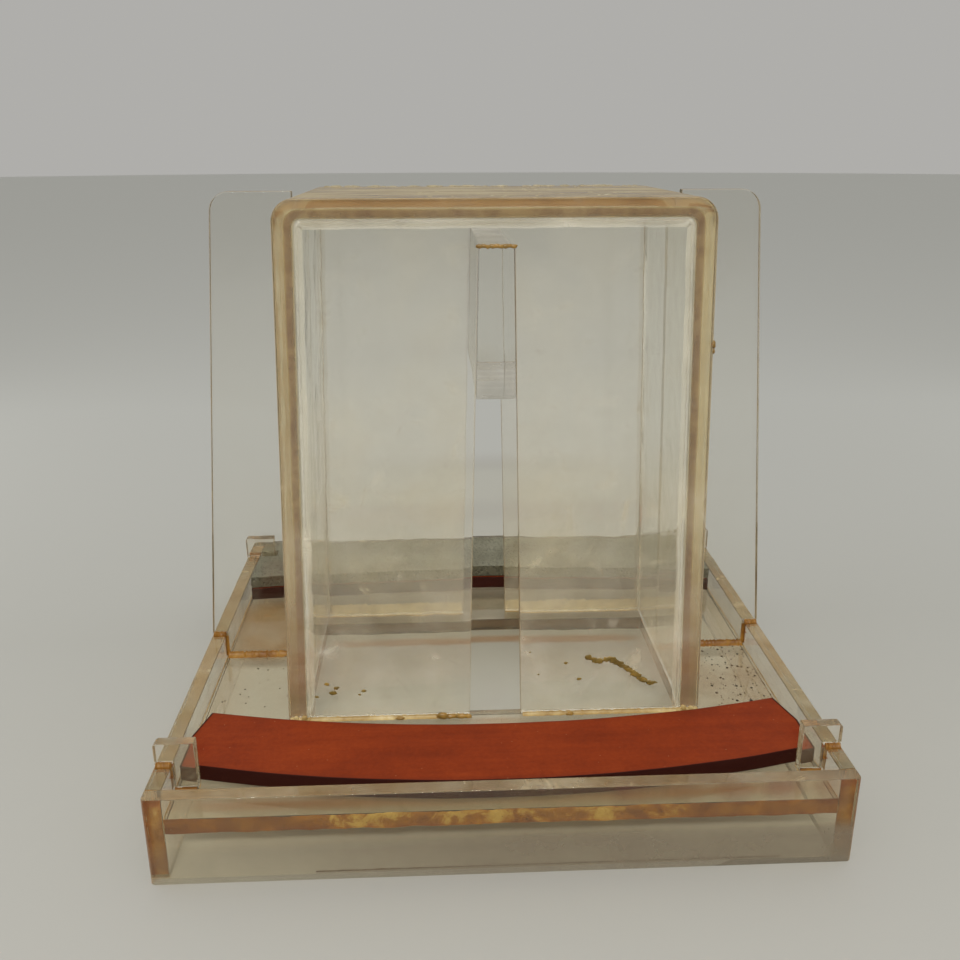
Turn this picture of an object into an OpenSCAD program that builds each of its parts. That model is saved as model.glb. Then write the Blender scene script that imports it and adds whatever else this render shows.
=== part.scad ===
// Gel electrophoresis tank of glued acrylic plates.
// A tray on an open skirt carries a slotted core with a wing on each side,
// and loose strips lie on the tray floor before and behind the core.
// The front faces -Y and the tray stands on Z = 0.

/* [Tray] */
// Outer width of the tray, left to right
tray_w = 170; // [150:1:200]
// Outer depth of the tray, front to rear
tray_d = 158; // [150:1:200]
// Height of the tray walls
wall_h = 24; // [20:0.5:32]
// Thickness of the tray walls
wall_t = 4; // [3:0.5:6]
// Thickness of the floor plate
floor_t = 4; // [3:0.5:6]
// Height of the open skirt under the floor plate
skirt_h = 12.7; // [8:0.1:15]
// Radius of the eased outer corners of the tray
tray_corner_r = 1.2; // [0.5:0.1:2.5]
// Cement film between two glued plates
cement_gap = 0.2; // [0.1:0.05:0.3]

/* [Corner tabs] */
// Width of a tab, over the wall and inside it
tab_w = 10; // [7:0.5:13]
// Thickness of a tab
tab_t = 3; // [2:0.5:5]
// Rise of a front tab above the wall top
front_tab_rise = 6; // [4:0.5:12]
// Rise of a rear tab above the wall top
rear_tab_rise = 7.5; // [4:0.5:12]
// Distance from an end wall's outer face to the tab
tab_setback = 13.3; // [8:0.1:16]
// Radius of a tab's outer top corner
tab_corner_r = 1; // [0.5:0.1:3]

/* [Core] */
// Width of the core at its top
core_top_w = 105; // [90:1:112]
// Width of the core at its foot
core_foot_w = 114; // [108:1:124]
// Height of the core above the floor plate
core_h = 138.7; // [120:0.1:170]
// Depth of the core over both panels
core_d = 66.5; // [56:0.5:72]
// Distance of the core's centre before the tray's centre
core_advance = 2.4; // [0:0.1:4]
// Thickness of the bent sheet
channel_t = 4.8; // [3:0.1:6]
// Outer radius of the two bends
bend_outer_r = 5.5; // [3:0.1:8]
// Inner radius of the two bends
bend_inner_r = 2; // [1:0.1:4]
// Thickness of the front and rear panels
panel_t = 3; // [2:0.5:5]
// Ledge of floor plate left bare inside the rear panel
rear_ledge = 5.2; // [2:0.1:14]

/* [Slots and centre block] */
// Width of a slot at the floor
slot_foot_w = 14.3; // [11:0.1:18]
// Width of a slot at its top end
slot_top_w = 8.7; // [6:0.1:11]
// Distance from the core's top down to the top end of a slot
slot_head = 11; // [8:0.5:30]
// Height of the block that fills the top of the slots
block_h = 37.3; // [20:0.1:60]

/* [Wings] */
// Width over both wings at their top
wing_top_w = 149; // [130:1:165]
// Thickness of a wing
wing_t = 3; // [2:0.5:5]
// Distance of the wings' middle plane behind the tray's centre
wing_setback = 3.5; // [0:0.1:8]
// Radius of a wing's outer top corner
wing_corner_r = 5.5; // [2:0.5:12]

/* [Strips] */
// Thickness of the rubber strips
rubber_t = 4.5; // [2:0.1:6]
// Thickness of the foam strip
foam_t = 4.2; // [2:0.1:6]
// Gap between a strip's end and the side wall
strip_end_gap = 0.6; // [0.4:0.1:3]
// Gap between the front strip and the tabs beside it
front_tab_gap = 0.9; // [0.6:0.1:5]
// Width of the front strip at its middle
front_strip_w = 24.8; // [18:0.1:27]
// Forward bow of the front strip's outer edge between the tabs
front_outer_bow = 9.2; // [2:0.1:11]
// Forward bow of the front strip's inner edge
front_inner_bow = 9.8; // [2:0.1:10]
// Length of the blunt point at each end of the front strip
front_end_point = 3; // [1:0.1:6]
// Gap between the rear strips and the tabs beside them
rear_tab_gap = 1.2; // [0.6:0.1:3]
// Width of the rear strips at their middle
rear_strip_w = 25.3; // [16:0.1:27]
// Rearward bow of the rear strips' outer edge between the tabs
rear_outer_bow = 11; // [6:0.1:11.5]
// Rearward bow of the rear strips' inner edge
rear_inner_bow = 4.8; // [1:0.1:8]

/* [Hidden] */

$fn = 96;
// Sides of the wide circles that shape the strips' edges
bow_fn = 720;
// Overrun of a cut past the face it leaves
cut = 1;
// Overrun of a strip's end cuts past its edges, as a share of their length
end_overrun = 1.3;
clear_acrylic = [0.90, 0.86, 0.70, 0.45];
red_rubber = [0.55, 0.20, 0.09];
grey_foam = [0.48, 0.47, 0.40];

half_w = tray_w / 2;
half_d = tray_d / 2;
inner_half_w = half_w - wall_t;
inner_half_d = half_d - wall_t;
floor_top = skirt_h + floor_t;
core_top = floor_top + core_h;
// Glued feet and shoulders stand one cement film above their seats
floor_seat = floor_top + cement_gap;
wall_seat = wall_h + cement_gap;
// Faces glued to the inside of a side wall, and of an end wall
wall_face = inner_half_w - cement_gap;
end_face = inner_half_d - cement_gap;

core_front = -core_advance - core_d / 2;
core_rear = -core_advance + core_d / 2;
front_panel_back = core_front + panel_t;
rear_panel_back = core_rear - panel_t;

tab_inner_x = half_w - tab_w;
tab_outer_y = half_d - tab_setback;
tab_inner_y = tab_outer_y - tab_t;

slot_h = core_h - slot_head;
strip_half = inner_half_w - strip_end_gap;

// Horizontal thickness of a leg, which leans
leg_lean = atan2((core_foot_w - core_top_w) / 2, core_h);
leg_t = channel_t / cos(leg_lean);

// Half width of the core's outside at height h above the floor plate
function core_half(h) = core_foot_w / 2 + (core_top_w - core_foot_w) / 2 * h / core_h;

// Half width of a slot at height h above the floor plate
function slot_half(h) = slot_foot_w / 2 + (slot_top_w - slot_foot_w) / 2 * h / slot_h;

function unit(v) = v / norm(v);

// Two unit vectors from corner i of an outline to its neighbours
function arms(pts, i) =
    let (n = len(pts))
    [unit(pts[(i + n - 1) % n] - pts[i]), unit(pts[(i + 1) % n] - pts[i])];

// Half of the angle inside corner i
function half_angle(pts, i) = let (a = arms(pts, i)) acos(a[0] * a[1]) / 2;

// Points where an arc of radius r leaves the two edges at corner i
function arc_ends(pts, r, i) =
    let (a = arms(pts, i), t = r / tan(half_angle(pts, i)))
    [pts[i] + a[0] * t, pts[i] + a[1] * t];

// Centre of an arc of radius r at corner i
function arc_centre(pts, r, i) =
    let (a = arms(pts, i))
    pts[i] + unit(a[0] + a[1]) * r / sin(half_angle(pts, i));

// Outline with true arcs at the corners whose radius is above zero
module rounded_outline(pts, radii) {
    corners = [0 : len(pts) - 1];
    polygon([for (i = corners) each radii[i] > 0 ? arc_ends(pts, radii[i], i) : [pts[i]]]);
    for (i = corners)
        if (radii[i] > 0)
            translate(arc_centre(pts, radii[i], i)) circle(radii[i]);
}

// Plate that stands across the tray, drawn in X and Z
module standing(y_front, y_rear) {
    translate([0, y_rear, 0])
        rotate([90, 0, 0])
            linear_extrude(y_rear - y_front) children();
}

// Box from two opposite corners
module block(low, high) {
    translate(low) cube(high - low);
}

// End wall across the whole width, with eased outer corners, drawn for the front
module end_wall() {
    linear_extrude(wall_h)
        rounded_outline(
            [[-half_w, -half_d], [half_w, -half_d], [half_w, -inner_half_d], [-half_w, -inner_half_d]],
            [tray_corner_r, tray_corner_r, 0, 0]);
}

// Side wall between the end walls; side is -1 at the left, 1 at the right
module side_wall(side) {
    mirror([side < 0 ? 1 : 0, 0, 0])
        block([inner_half_w, -end_face, 0], [half_w, end_face, wall_h]);
}

// Corner tab: one half stands on the wall top, the other hangs inside down to the floor
module corner_tab(side_x, side_y) {
    top = wall_seat + (side_y < 0 ? front_tab_rise : rear_tab_rise);
    mirror([side_x < 0 ? 1 : 0, 0, 0])
        mirror([0, side_y < 0 ? 1 : 0, 0])
            standing(tab_inner_y, tab_outer_y)
                rounded_outline(
                    [[tab_inner_x, floor_seat], [wall_face, floor_seat], [wall_face, wall_seat],
                     [half_w, wall_seat], [half_w, top], [tab_inner_x, top]],
                    [0, 0, 0, 0, tab_corner_r, 0]);
}

// Outside of the core in X and Z, from the floor seat to the top
module core_outline() {
    foot = core_half(cement_gap);
    head = core_half(core_h);
    rounded_outline(
        [[-foot, floor_seat], [foot, floor_seat], [head, core_top], [-head, core_top]],
        [0, 0, bend_outer_r, bend_outer_r]);
}

// Inside of the bent sheet, which runs out through the foot
module core_hollow() {
    ceiling = core_h - channel_t;
    foot = core_half(-cut) - leg_t;
    head = core_half(ceiling) - leg_t;
    rounded_outline(
        [[-foot, floor_top - cut], [foot, floor_top - cut],
         [head, floor_top + ceiling], [-head, floor_top + ceiling]],
        [0, 0, bend_inner_r, bend_inner_r]);
}

// Slot outline between two heights above the floor plate, drawn in by a side gap
module slot_outline(low, high, side_gap = 0) {
    foot = slot_half(low) - side_gap;
    head = slot_half(high) - side_gap;
    polygon([[-foot, floor_top + low], [foot, floor_top + low],
             [head, floor_top + high], [-head, floor_top + high]]);
}

// Panel with the core's outline and a slot that is open at the floor
module slotted_panel(y_front, y_rear) {
    standing(y_front, y_rear)
        difference() {
            core_outline();
            slot_outline(-cut, slot_h);
        }
}

// Wing beside the core; side is -1 at the left, 1 at the right
module wing(side) {
    foot = core_half(cement_gap) + cement_gap;
    head = core_half(core_h) + cement_gap;
    mirror([side < 0 ? 1 : 0, 0, 0])
        standing(wing_setback - wing_t / 2, wing_setback + wing_t / 2)
            rounded_outline(
                [[foot, floor_seat], [wall_face, floor_seat], [wall_face, wall_seat],
                 [half_w, wall_seat], [wing_top_w / 2, core_top], [head, core_top]],
                [0, 0, 0, 0, wing_corner_r, 0]);
}

// Radius of the circle whose arc rises by bow over half a chord
function bow_radius(half_chord, bow) = (half_chord * half_chord + bow * bow) / (2 * bow);

// Height of an arc above the end of its radius r, at distance x from its middle
function arc_drop(r, x) = r - sqrt(r * r - x * x);

// Strip that bows outwards at its middle, drawn for the rear and from height z up.
// Its outer edge passes the inner corner of each tab at tab_gap.
// Its ends are cut straight, or to a blunt point of length end_point.
module bowed_strip(z, thickness, width, tab_gap, outer_bow, inner_bow, end_point = 0) {
    shoulder = strip_half - end_point;
    outer_y = tab_inner_y - tab_gap + outer_bow;
    inner_y = outer_y - width;
    outer_r = bow_radius(tab_inner_x, outer_bow);
    inner_r = bow_radius(strip_half, inner_bow);
    outer_end = outer_y - arc_drop(outer_r, shoulder);
    inner_end = inner_y - arc_drop(inner_r, shoulder);
    point_y = (inner_end + outer_end) / 2;
    // The end cuts run past the bowed edges
    blank_x = strip_half - end_overrun * end_point;
    blank_low = point_y - end_overrun * (point_y - inner_end);
    blank_high = point_y + end_overrun * (outer_end - point_y);
    straight = [[-strip_half, blank_low], [strip_half, blank_low],
                [strip_half, outer_y + cut], [-strip_half, outer_y + cut]];
    pointed = [[-blank_x, blank_low], [blank_x, blank_low], [strip_half, point_y], [blank_x, blank_high],
               [blank_x, outer_y + cut], [-blank_x, outer_y + cut], [-blank_x, blank_high],
               [-strip_half, point_y]];
    translate([0, 0, z])
        difference() {
            intersection() {
                linear_extrude(thickness) polygon(end_point > 0 ? pointed : straight);
                translate([0, outer_y - outer_r, -cut])
                    cylinder(r = outer_r, h = thickness + 2 * cut, $fn = bow_fn);
            }
            translate([0, inner_y - inner_r, -cut])
                cylinder(r = inner_r, h = thickness + 2 * cut, $fn = bow_fn);
        }
}

module tray_floor() {
    opening_half = core_half(0) - leg_t;
    color(clear_acrylic)
        difference() {
            block([-wall_face, -end_face, skirt_h], [wall_face, end_face, floor_top]);
            block([-opening_half, front_panel_back, skirt_h - cut],
                  [opening_half, rear_panel_back - rear_ledge, floor_top + cut]);
        }
}

module tray_front_wall() {
    color(clear_acrylic) end_wall();
}

module tray_rear_wall() {
    color(clear_acrylic) mirror([0, 1, 0]) end_wall();
}

module tray_left_wall() {
    color(clear_acrylic) side_wall(-1);
}

module tray_right_wall() {
    color(clear_acrylic) side_wall(1);
}

module front_left_tab() {
    color(clear_acrylic) corner_tab(-1, -1);
}

module front_right_tab() {
    color(clear_acrylic) corner_tab(1, -1);
}

module rear_left_tab() {
    color(clear_acrylic) corner_tab(-1, 1);
}

module rear_right_tab() {
    color(clear_acrylic) corner_tab(1, 1);
}

module core_channel() {
    color(clear_acrylic)
        standing(front_panel_back + cement_gap, rear_panel_back - cement_gap)
            difference() {
                core_outline();
                core_hollow();
            }
}

module front_panel() {
    color(clear_acrylic) slotted_panel(core_front, front_panel_back);
}

module rear_panel() {
    color(clear_acrylic) slotted_panel(rear_panel_back, core_rear);
}

module centre_block() {
    color(clear_acrylic)
        standing(core_front, core_rear)
            slot_outline(slot_h - block_h, slot_h - cement_gap, cement_gap);
}

module left_wing() {
    color(clear_acrylic) wing(-1);
}

module right_wing() {
    color(clear_acrylic) wing(1);
}

module front_rubber_strip() {
    color(red_rubber)
        mirror([0, 1, 0])
            bowed_strip(floor_top, rubber_t, front_strip_w, front_tab_gap,
                        front_outer_bow, front_inner_bow, front_end_point);
}

module rear_rubber_strip() {
    color(red_rubber)
        bowed_strip(floor_top, rubber_t, rear_strip_w, rear_tab_gap, rear_outer_bow, rear_inner_bow);
}

module rear_foam_strip() {
    color(grey_foam)
        bowed_strip(floor_top + rubber_t, foam_t, rear_strip_w, rear_tab_gap, rear_outer_bow, rear_inner_bow);
}

tray_floor();
tray_front_wall();
tray_rear_wall();
tray_left_wall();
tray_right_wall();
front_left_tab();
front_right_tab();
rear_left_tab();
rear_right_tab();
core_channel();
front_panel();
rear_panel();
centre_block();
left_wing();
right_wing();
front_rubber_strip();
rear_rubber_strip();
rear_foam_strip();
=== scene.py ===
"""Gel electrophoresis tank: glued plates of yellowed acrylic, aged cement, loose rubber and foam strips."""

import math

import bpy
from mathutils import Matrix, Vector, noise


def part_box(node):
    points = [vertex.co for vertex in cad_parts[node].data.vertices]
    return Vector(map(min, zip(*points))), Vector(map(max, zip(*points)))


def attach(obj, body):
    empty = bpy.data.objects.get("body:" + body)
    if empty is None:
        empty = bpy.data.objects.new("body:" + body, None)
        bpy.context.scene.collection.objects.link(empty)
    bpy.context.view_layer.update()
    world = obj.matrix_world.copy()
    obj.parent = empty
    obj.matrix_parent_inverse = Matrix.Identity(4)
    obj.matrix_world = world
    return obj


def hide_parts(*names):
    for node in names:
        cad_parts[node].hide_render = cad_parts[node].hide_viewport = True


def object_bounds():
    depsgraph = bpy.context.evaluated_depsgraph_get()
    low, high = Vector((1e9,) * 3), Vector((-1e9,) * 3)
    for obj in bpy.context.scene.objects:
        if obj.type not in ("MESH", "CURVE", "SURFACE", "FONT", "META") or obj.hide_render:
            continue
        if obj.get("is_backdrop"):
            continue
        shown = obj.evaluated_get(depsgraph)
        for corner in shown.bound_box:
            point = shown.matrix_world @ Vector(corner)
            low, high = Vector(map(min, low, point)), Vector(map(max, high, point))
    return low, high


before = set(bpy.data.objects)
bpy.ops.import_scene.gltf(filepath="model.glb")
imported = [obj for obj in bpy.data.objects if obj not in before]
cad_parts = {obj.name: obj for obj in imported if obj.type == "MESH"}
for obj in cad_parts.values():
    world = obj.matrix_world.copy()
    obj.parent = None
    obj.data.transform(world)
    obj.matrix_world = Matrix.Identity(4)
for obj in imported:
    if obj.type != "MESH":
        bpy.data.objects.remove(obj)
cad_low, cad_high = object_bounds()
scene = bpy.context.scene

MM = 0.001

# Places on the frame, in millimetres
FLOOR_UNDER, FLOOR_TOP = (corner.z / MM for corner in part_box("tray_floor"))
WALL_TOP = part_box("tray_front_wall")[1].z / MM
WALL_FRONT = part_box("tray_front_wall")[0].y / MM
WALL_INNER_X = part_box("tray_right_wall")[0].x / MM
WALL_INNER_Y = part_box("tray_rear_wall")[0].y / MM
tab_low, tab_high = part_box("rear_right_tab")
TAB_INNER_X, TAB_NEAR_Y, TAB_FAR_Y = tab_low.x / MM, tab_low.y / MM, tab_high.y / MM
CORE_FOOT, CORE_TOP = (corner.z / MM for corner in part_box("core_channel"))
CORE_FRONT, FRONT_PANEL_INSIDE = (corner.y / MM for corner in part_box("front_panel"))
REAR_PANEL_INSIDE, CORE_REAR = (corner.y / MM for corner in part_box("rear_panel"))
WING_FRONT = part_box("left_wing")[0].y / MM
BLOCK_FOOT, SLOT_HEAD = (corner.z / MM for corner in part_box("centre_block"))

# Where the cement under the panels starts beside the slots, and the gap between glued plates
PANEL_FOOT_X = 7.4
GLUE_GAP = 0.2

# The bent sheet of the core in X and Z, its outer and its inner face, in millimetres
SHEET = 4.8
OUTER = {"foot": 57.0, "head": 52.5, "top": CORE_TOP, "radius": 5.5}
INNER = {"foot": 52.2, "head": 47.8, "top": CORE_TOP - SHEET, "radius": 2.0}

# What comes in pairs, with the sign of X for a side
SIDES = (("left", -1), ("right", 1))
PANELS = ("front_panel", "rear_panel")


# Camera

CAMERA_PLACE = Vector((-14.8, -273.2, 167.3)) * MM
CAMERA_PITCH, CAMERA_YAW, CAMERA_ROLL = 18.88, 2.58, -0.16
FOCAL_PIXELS, FRAME_PIXELS, SENSOR_MM = 984.0, 960.0, 36.0


def add_camera():
    """A camera at the photograph's viewpoint."""
    pitch, yaw, roll = (math.radians(a) for a in (CAMERA_PITCH, CAMERA_YAW, CAMERA_ROLL))
    forward = Vector((math.sin(yaw) * math.cos(pitch), math.cos(yaw) * math.cos(pitch), -math.sin(pitch)))
    level = Vector((math.cos(yaw), -math.sin(yaw), 0))
    rise = level.cross(forward)
    right = level * math.cos(roll) + rise * math.sin(roll)
    up = rise * math.cos(roll) - level * math.sin(roll)
    data = bpy.data.cameras.new("camera")
    data.sensor_width = SENSOR_MM
    data.lens = FOCAL_PIXELS / FRAME_PIXELS * SENSOR_MM
    data.clip_start, data.clip_end = 0.01, 20
    camera = bpy.data.objects.new("camera", data)
    axes = Matrix((right, up, -forward)).transposed().to_4x4()
    camera.matrix_world = Matrix.Translation(CAMERA_PLACE) @ axes
    scene.collection.objects.link(camera)
    scene.camera = camera


# Shader maths

class Value:
    """A shader socket that takes part in Python expressions."""

    def __init__(self, finish, socket):
        self.finish = finish
        self.socket = socket

    def maths(self, operation, *terms):
        return self.finish.add("ShaderNodeMath", {"operation": operation}, dict(enumerate(terms)))

    def __add__(self, other):
        return self.maths("ADD", self, other)

    def __radd__(self, other):
        return self.maths("ADD", other, self)

    def __sub__(self, other):
        return self.maths("SUBTRACT", self, other)

    def __rsub__(self, other):
        return self.maths("SUBTRACT", other, self)

    def __mul__(self, other):
        return self.maths("MULTIPLY", self, other)

    def __rmul__(self, other):
        return self.maths("MULTIPLY", other, self)

    def above(self, low, high):
        """0 below low, 1 above high, smooth between."""
        return self.finish.add(
            "ShaderNodeMapRange", {"interpolation_type": "SMOOTHSTEP"},
            {"Value": self, "From Min": low, "From Max": high})

    def larger(self, other):
        return self.maths("MAXIMUM", self, other)

    def smaller(self, other):
        return self.maths("MINIMUM", self, other)

    def size(self):
        return self.maths("ABSOLUTE", self)


class Finish:
    """A node material, or a world, under construction."""

    def __init__(self, name, world=False):
        self.holder = (bpy.data.worlds if world else bpy.data.materials).new(name)
        self.holder.use_nodes = True
        self.tree = self.holder.node_tree
        self.tree.nodes.clear()
        self.output = self.tree.nodes.new("ShaderNodeOutputWorld" if world else "ShaderNodeOutputMaterial")

    def add(self, kind, settings=None, inputs=None, out=0):
        """A node of that kind: its settings first, then the values or links of its sockets."""
        made = self.tree.nodes.new(kind)
        for key, value in (settings or {}).items():
            if key == "stops":
                self.set_stops(made.color_ramp, value)
            else:
                setattr(made, key, value)
        for key, value in (inputs or {}).items():
            if isinstance(value, Value):
                self.tree.links.new(value.socket, made.inputs[key])
            else:
                made.inputs[key].default_value = value
        return Value(self, made.outputs[out])

    @staticmethod
    def set_stops(ramp, stops):
        while len(ramp.elements) < len(stops):
            ramp.elements.new(0.5)
        for element, (place, colour) in zip(ramp.elements, stops):
            element.position = place
            element.color = (*colour, 1)

    def place(self, scale=(1, 1, 1)):
        """Object coordinates in metres, stretched by scale."""
        here = self.add("ShaderNodeTexCoord", out="Object")
        return self.add("ShaderNodeMapping", None, {"Vector": here, "Scale": scale})

    def along(self, axis):
        """One of the object coordinates, 0 to 2 for X to Z."""
        here = self.add("ShaderNodeTexCoord", out="Object")
        return self.add("ShaderNodeSeparateXYZ", None, {0: here}, axis)

    def band(self, axis):
        """The piece's own map: 0 for along it, 1 for across it."""
        here = self.add("ShaderNodeUVMap", {"uv_map": "UVMap"})
        return self.add("ShaderNodeSeparateXYZ", None, {0: here}, axis)

    def from_middle(self):
        """0 at the middle of the piece's own map, 1 at its outline."""
        return (self.band(1) * 2 - 1).size().larger((self.band(0) * 2 - 1).size())

    def clouds(self, scale, detail=4.0, rough=0.55, stretch=(1, 1, 1), warp=0.0):
        return self.add("ShaderNodeTexNoise", None, {
            "Vector": self.place(stretch), "Scale": scale, "Detail": detail,
            "Roughness": rough, "Distortion": warp})

    def grains(self, scale):
        """Distance to the nearest of many scattered points."""
        return self.add("ShaderNodeTexVoronoi", {"feature": "F1"}, {"Vector": self.place(), "Scale": scale})

    def blend(self, share, first, second):
        """Two colours mixed by share."""
        def colour(c):
            return c if isinstance(c, Value) else (*c, 1)
        return self.add("ShaderNodeMix", {"data_type": "RGBA"}, {
            0: share, 6: colour(first), 7: colour(second)}, 2)

    def ramp(self, value, stops):
        return self.add("ShaderNodeValToRGB", {"stops": stops}, {0: value})

    def bump(self, height, distance):
        return self.add("ShaderNodeBump", None, {"Height": height, "Distance": distance, "Strength": 1.0})

    def coat(self, **inputs):
        """A Principled shader; words in a name are joined by underscores."""
        return self.add("ShaderNodeBsdfPrincipled", None, {
            key.replace("_", " "): (*value, 1) if isinstance(value, tuple) and len(value) == 3 else value
            for key, value in inputs.items()})

    def mix(self, share, first, second):
        """Two shaders mixed by share."""
        return self.add("ShaderNodeMixShader", None, {0: share, 1: first, 2: second})

    def close(self, surface, volume=None):
        self.tree.links.new(surface.socket, self.output.inputs["Surface"])
        if volume is not None:
            self.tree.links.new(volume.socket, self.output.inputs["Volume"])
        return self.holder


def shade(r, g, b):
    """A colour as the eye reads it, 0 to 255, turned to linear light."""
    return tuple(c / 12.92 if c <= 0.04045 else ((c + 0.055) / 1.055) ** 2.4
                 for c in (r / 255, g / 255, b / 255))


# Finishes

ACRYLIC_IOR = 1.49
YELLOWING = (0.975, 0.86, 0.22)
YELLOW_DEPTH = 7.0
SHADOW_TINT = (0.97, 0.954, 0.9)


def let_light_through(finish, surface):
    """Lamps and soft light pass straight through clear plates, with a yellow tint."""
    clear = finish.add("ShaderNodeBsdfTransparent", None, {"Color": (*SHADOW_TINT, 1)})
    shadow = finish.add("ShaderNodeLightPath", out="Is Shadow Ray")
    soft = finish.add("ShaderNodeLightPath", out="Is Diffuse Ray")
    return finish.mix(soft, finish.mix(shadow, surface, clear), clear)


# Stains, painted shade under the tray, a painted reflection of the red rubber, a grey for the block's foot,
# and dust in its dark, middle and pale tones; the white tones are a painted highlight
RUSTY, UNDER_TRAY_SHADE, RUBBER_REFLECTION = shade(138, 105, 57), shade(126, 114, 96), shade(120, 72, 50)
BLOCK_FOOT_GREY = shade(150, 148, 134)
BROWN_DUST = (shade(146, 112, 54), shade(170, 144, 88), shade(186, 166, 114))
OLD_DUST = (shade(150, 126, 84), shade(184, 171, 140), shade(200, 193, 170))
PAINTED_HIGHLIGHT_WHITES = (shade(232, 230, 222), shade(242, 241, 236), shade(248, 247, 244))
PALE_DUST = (shade(208, 197, 168), shade(229, 221, 198), shade(240, 236, 222))


def aged_acrylic(name, veil, tint, depth=YELLOW_DEPTH, dust=OLD_DUST, core=False, grey_foot=0.0, stains_and_painted_marks=()):
    """Clear sheet, yellowed at its faces and through its depth, with handling haze, dust and stains, and
    where asked painted shade and a painted reflection.

    veil is how much the haze hides, tint the colour of a face and depth the yellowing through the sheet.
    core gives haze that thickens downwards and a crust on the top. The foot share is painted shade: the
    shade under the tray, put on the wall below the floor and lighter to the left.
    A stain is a middle and a reach in millimetres, how strong it is, and its colour; on the front wall
    these marks are a painted reflection of the red rubber.
    """
    f = Finish(name)
    smudge = f.clouds(38, 5, 0.6).above(0.42, 0.72)
    streak = f.clouds(60, 3, 0.5, (1, 1, 0.12)).above(0.5, 0.75)
    spots = f.clouds(90, 4, 0.6, warp=0.6).above(0.6, 0.74)
    grime = f.clouds(140, 4, 0.6)
    clear = f.coat(
        Base_Color=tint, Roughness=0.012 + smudge * 0.05 + streak * 0.02,
        IOR=ACRYLIC_IOR, Transmission_Weight=1.0,
        Normal=f.bump(f.clouds(55, 2, 0.5), 0.12 * MM))
    colour = f.ramp(grime, list(zip((0.3, 0.55, 0.75), dust)))
    cover = veil * (0.45 + smudge * 0.8) + spots * veil * 1.6
    if core:
        height = f.along(2)
        cover = cover * (1.4 - height.above(FLOOR_TOP * MM, 120 * MM) * 1.05)
        top = height.above((CORE_TOP - 0.35) * MM, (CORE_TOP - 0.1) * MM)
        patches = f.clouds(70, 6, 0.65, (0.35, 1, 1)).above(0.3, 0.62)
        cover = cover.larger(top * (0.4 + patches * 0.4))
        colour = f.blend(top, colour, f.ramp(grime * 0.5 + patches * 0.4, [
            (0.15, shade(118, 92, 52)), (0.4, shade(156, 136, 96)), (0.7, shade(176, 160, 124))]))
    # Painted shade: the wall below the floor is darkened as if under the tray, less to the left, where
    # light comes in through the left wall
    if grey_foot:
        below_floor = 1 - f.along(2).above((FLOOR_UNDER - 4.7) * MM, (FLOOR_UNDER - 0.1) * MM)
        to_the_right = 0.3 + f.along(0).above(-70 * MM, 10 * MM) * 0.7
        mark = below_floor * to_the_right * (0.7 + smudge * 0.3) * grey_foot
        cover = cover.larger(mark)
        colour = f.blend(mark.above(0.02, 0.2), colour, UNDER_TRAY_SHADE)
    # Stains, and marks of painted reflection, each strongest at its middle
    for middle, reach, strength, mark_tint in stains_and_painted_marks:
        away = f.add("ShaderNodeVectorMath", {"operation": "DISTANCE"}, {
            0: f.place(), 1: Vector(middle) * MM}, "Value")
        mark = (1 - away.above(reach * 0.25 * MM, reach * MM)) * (0.4 + smudge * 0.7) * strength
        cover = cover.larger(mark)
        colour = f.blend(mark.above(0.02, 0.2), colour, mark_tint)
    haze = f.coat(Base_Color=colour, Roughness=0.75)
    surface = let_light_through(f, f.mix(cover, clear, haze))
    yellow = f.add("ShaderNodeVolumeAbsorption", None, {"Color": (*YELLOWING, 1), "Density": depth})
    return f.close(surface, yellow)


BROWN_CEMENT = [(0.2, shade(88, 48, 8)), (0.42, shade(136, 88, 26)), (0.58, shade(168, 122, 48)),
                (0.75, shade(210, 184, 116))]
BAND_CEMENT = [(0.2, shade(78, 37, 0)), (0.42, shade(120, 66, 0)), (0.58, shade(150, 96, 4)),
               (0.75, shade(192, 160, 76))]
SHEET_CEMENT = [(0.2, shade(112, 78, 38)), (0.42, shade(166, 142, 94)), (0.58, shade(192, 174, 132)),
                (0.75, shade(214, 204, 174))]
PALE_CEMENT = [(0.2, shade(150, 132, 96)), (0.42, shade(186, 172, 134)), (0.58, shade(204, 194, 162)),
               (0.75, shade(220, 214, 190))]
TAN_CEMENT = [(0.2, shade(122, 82, 34)), (0.42, shade(180, 148, 88)), (0.58, shade(208, 184, 130)),
              (0.75, shade(226, 212, 172))]


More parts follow.
